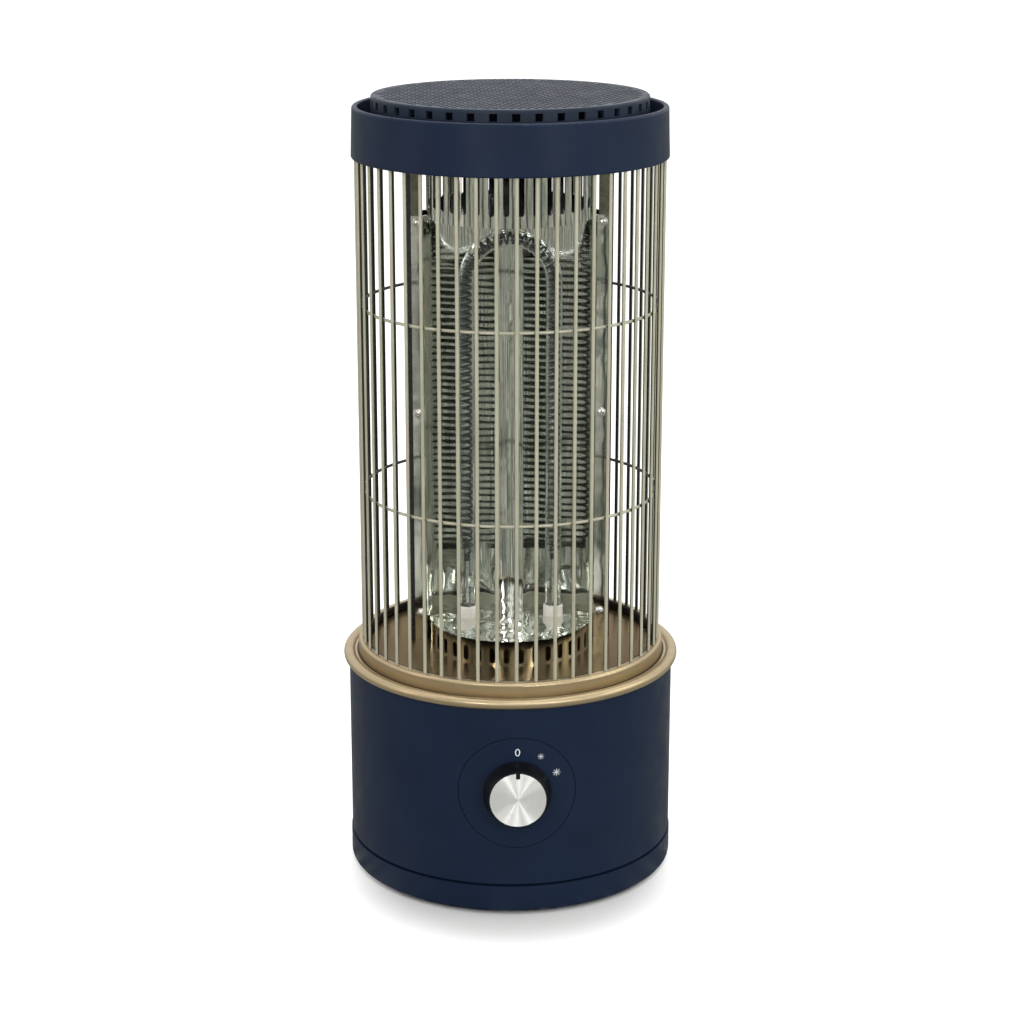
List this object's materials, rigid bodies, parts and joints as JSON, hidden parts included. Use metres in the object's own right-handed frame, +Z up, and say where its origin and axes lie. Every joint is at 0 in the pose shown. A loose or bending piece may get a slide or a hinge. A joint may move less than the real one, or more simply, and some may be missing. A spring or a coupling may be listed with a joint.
{
  "type": "quartz heater",
  "caption": "Round cage-type radiant quartz heater: U-shaped tube before a two-trough reflector in a wire cage, on a drum base with a turning control knob.",
  "frame": {"origin": "on the floor under the middle of the base", "axes": "+Z up, the knob faces -Y, +X to the right of someone facing the knob"},
  "size_m": [0.2286, 0.2407, 0.5265],
  "materials": {
    "navy_plastic": "satin, finely textured",
    "dark_grille": "satin, perforated",
    "gold_trim": "satin metallic",
    "champagne_wire": "satin metallic",
    "bronze_pan": "glossy",
    "polished_steel": "mirror polish",
    "plain_steel": "rolled sheet",
    "quartz": "clear, glossy",
    "coil_wire": "oxidised",
    "white_ceramic": "fine matt",
    "zinc_screw": "zinc plated",
    "black_rubber": "matt",
    "black_plastic": "smooth",
    "switch_plastic": "moulded",
    "spun_aluminium": "spun, radial sheen",
    "brass": "plain",
    "lead_insulation": "braided sleeve"
  },
  "bodies": {
    "heater": {"base_housing": "navy_plastic", "base_plinth": "navy_plastic", "rubber_feet": "black_rubber", "plinth_screws": "zinc_screw", "gold_collar": "gold_trim", "cage_foot_ring": "gold_trim", "foot_ring_screws": "zinc_screw", "floor_pan": "bronze_pan", "heat_baffle": "plain_steel", "baffle_spacers": "plain_steel", "cage_wires": "champagne_wire", "guard_ring_lower": "champagne_wire", "guard_ring_upper": "champagne_wire", "lower_slotted_ring": "polished_steel", "lower_dish": "polished_steel", "upper_slotted_ring": "polished_steel", "upper_dish": "polished_steel", "reflector": "polished_steel", "back_shield": "plain_steel", "foot_brackets": "plain_steel", "reflector_screws": "zinc_screw", "reflector_nuts": "zinc_screw", "quartz_tube": "quartz", "heating_coil": "coil_wire", "ceramic_ferrules": "white_ceramic", "element_terminals": "brass", "top_plate": "plain_steel", "ceiling_screws": "zinc_screw", "top_plate_screws": "zinc_screw", "top_collar": "navy_plastic", "top_grille": "dark_grille", "dial_plate": "navy_plastic", "rotary_switch": "switch_plastic", "switch_nut": "brass", "thermal_cutout": "black_plastic", "cutout_bracket": "plain_steel", "terminal_block": "white_ceramic", "half_power_diode": "black_plastic", "cord_gland": "black_rubber", "tip_switch_frame": "black_plastic", "tip_spring": "plain_steel", "micro_switch": "black_plastic", "internal_wires": "lead_insulation"},
    "knob": {"knob_skirt": "black_plastic", "knob_cap": "spun_aluminium", "switch_shaft": "switch_plastic"},
    "plunger": {"tip_plunger": "switch_plastic"},
    "lever": {"tip_lever": "plain_steel"}
  },
  "joints": [
    {"name": "knob_turn", "type": "hinge", "parent": "heater", "child": "knob", "pos_m": [0, -0.11, 0.0865], "axis": [0, 1, 0], "range_deg": [0, 62]},
    {"name": "plunger_drop", "type": "slide", "parent": "heater", "child": "plunger", "axis": [0, 0, -1], "range_m": [0, 0.0045], "stiffness_N_per_m": 100, "springref_m": 0.0045, "deforming": ["tip_spring"]},
    {"name": "lever_swing", "type": "hinge", "parent": "heater", "child": "lever", "pos_m": [-0.017, 0.03, 0.0368], "axis": [0, -1, 0], "range_deg": [0, 14.4]}
  ],
  "couplings": [
    {"joint": "lever_swing", "follows": "plunger_drop", "rad_per_m": 55.5}
  ]
}
